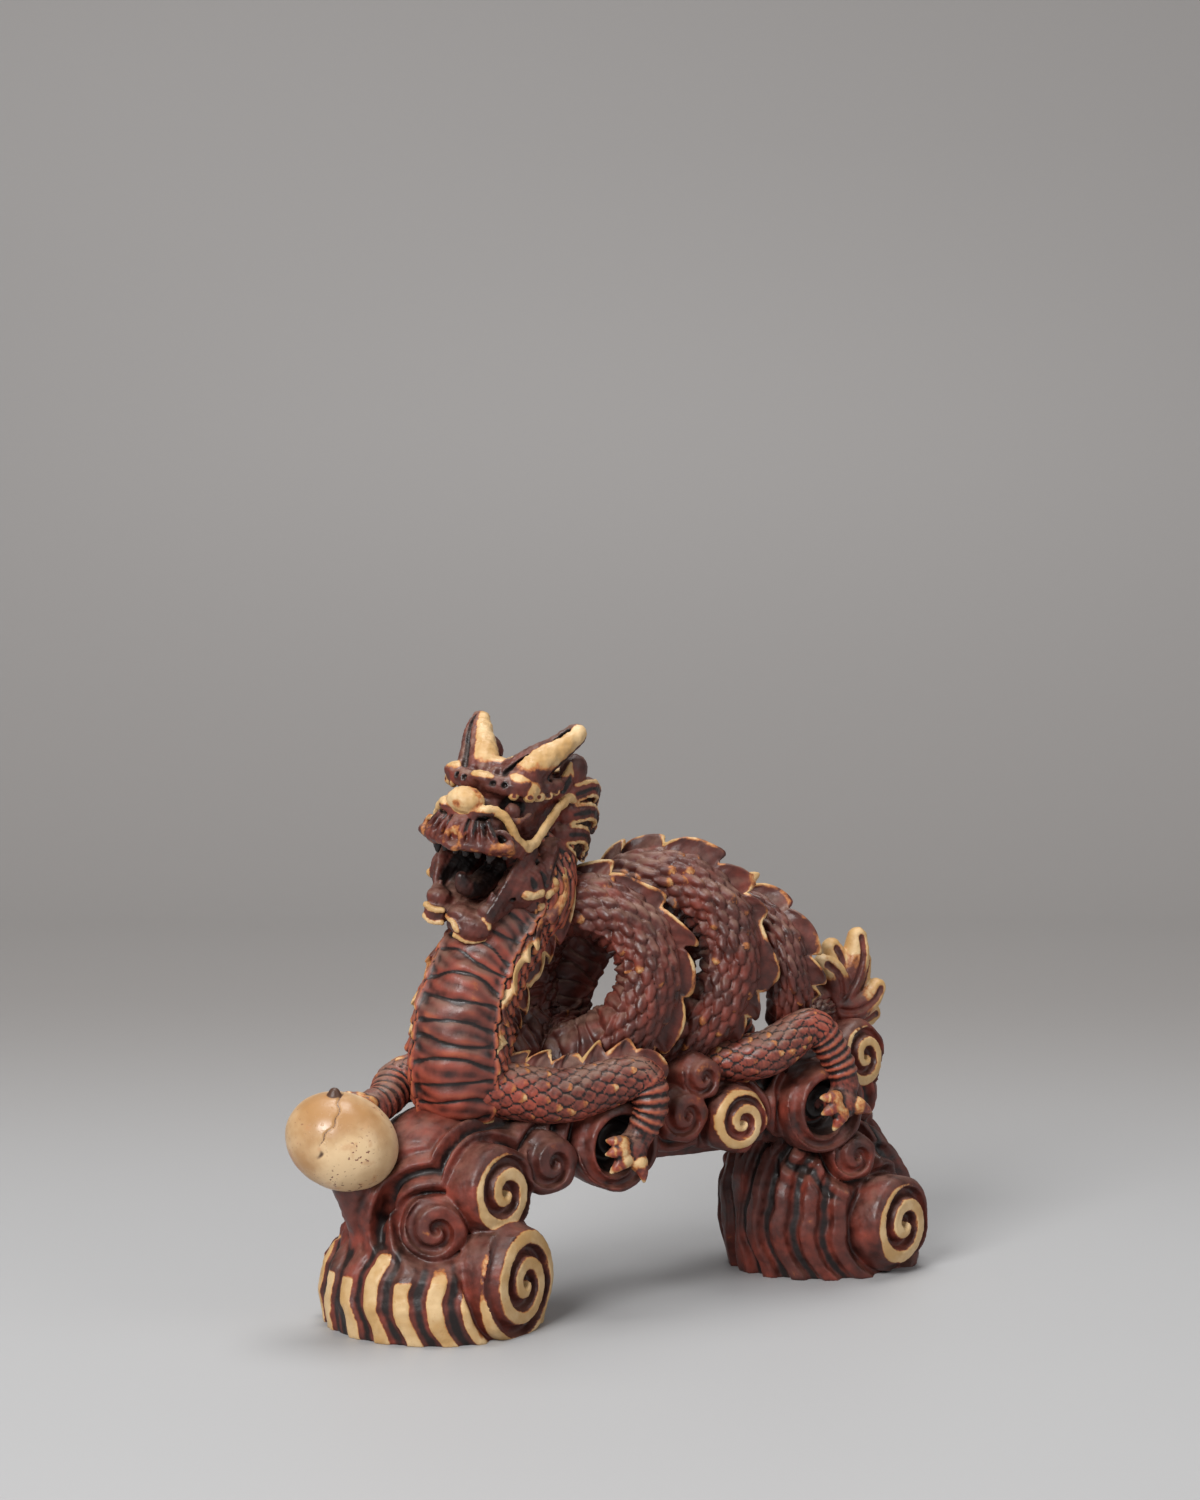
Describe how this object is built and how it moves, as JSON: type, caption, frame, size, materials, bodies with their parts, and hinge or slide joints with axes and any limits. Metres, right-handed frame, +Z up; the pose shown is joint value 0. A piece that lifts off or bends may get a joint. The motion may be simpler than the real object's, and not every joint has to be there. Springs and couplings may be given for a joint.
{
  "type": "dragon sculpture",
  "caption": "Carved-look resin dragon whose coiled body winds along a bridge of cloud scrolls on two ribbed feet, with one paw on an ivory pearl; a free-standing shelf ornament.",
  "frame": {"origin": "on the ground under the middle of the ornament's box", "axes": "+X towards the tail, the dragon faces -X; +Y towards its right side; +Z up"},
  "size_m": [0.1536, 0.051, 0.1253],
  "materials": {
    "stained_resin": "cast resin with a red-brown stain, satin, rubbed back to ivory on raised edges",
    "stained_cloud": "cast resin with a red-brown stain, satin, rubbed back to ivory on the ribs",
    "ivory_resin": "bare ivory resin, rubbed smooth, stain left in the grooves and pits",
    "dark_stain": "cast resin with a near-black stain left in a deep hollow"
  },
  "bodies": {
    "root": {"cloud_beam": "stained_cloud", "coil_1": "stained_resin", "coil_2": "stained_resin", "coil_3": "stained_resin", "crest_1": "ivory_resin", "crest_2": "ivory_resin", "crest_3": "ivory_resin", "front_column": "stained_cloud", "front_foot": "stained_cloud", "left_brow": "stained_resin", "left_ear": "stained_resin", "left_fore_cup": "stained_cloud", "left_fore_paw": "ivory_resin", "left_foreleg": "stained_resin", "left_front_back_curl": "ivory_resin", "left_front_curl": "ivory_resin", "left_front_foot_scroll": "ivory_resin", "left_front_upper_scroll": "ivory_resin", "left_hind_cup": "stained_cloud", "left_hind_leg": "stained_resin", "left_hind_paw": "ivory_resin", "left_horn": "ivory_resin", "left_mane": "stained_resin", "left_mid_curl": "ivory_resin", "left_mid_scroll": "ivory_resin", "left_rear_curl": "ivory_resin", "left_rear_foot_scroll": "ivory_resin", "left_rear_top_scroll": "ivory_resin", "left_whisker": "ivory_resin", "lower_jaw": "stained_resin", "neck": "stained_resin", "neck_crest": "ivory_resin", "nose": "ivory_resin", "pearl": "ivory_resin", "pearl_stem": "stained_cloud", "rear_foot": "stained_cloud", "right_brow": "stained_resin", "right_ear": "stained_resin", "right_fore_paw": "ivory_resin", "right_foreleg": "stained_resin", "right_front_back_curl": "ivory_resin", "right_front_curl": "ivory_resin", "right_front_foot_scroll": "ivory_resin", "right_front_upper_scroll": "ivory_resin", "right_hind_cup": "stained_cloud", "right_hind_leg": "stained_resin", "right_hind_paw": "ivory_resin", "right_horn": "ivory_resin", "right_mane": "stained_resin", "right_mid_curl": "ivory_resin", "right_mid_scroll": "ivory_resin", "right_rear_curl": "ivory_resin", "right_rear_foot_scroll": "ivory_resin", "right_rear_top_scroll": "ivory_resin", "right_whisker": "ivory_resin", "skull": "stained_resin", "tail": "stained_resin", "tail_tuft": "ivory_resin", "tongue": "dark_stain"}
  },
  "joints": []
}
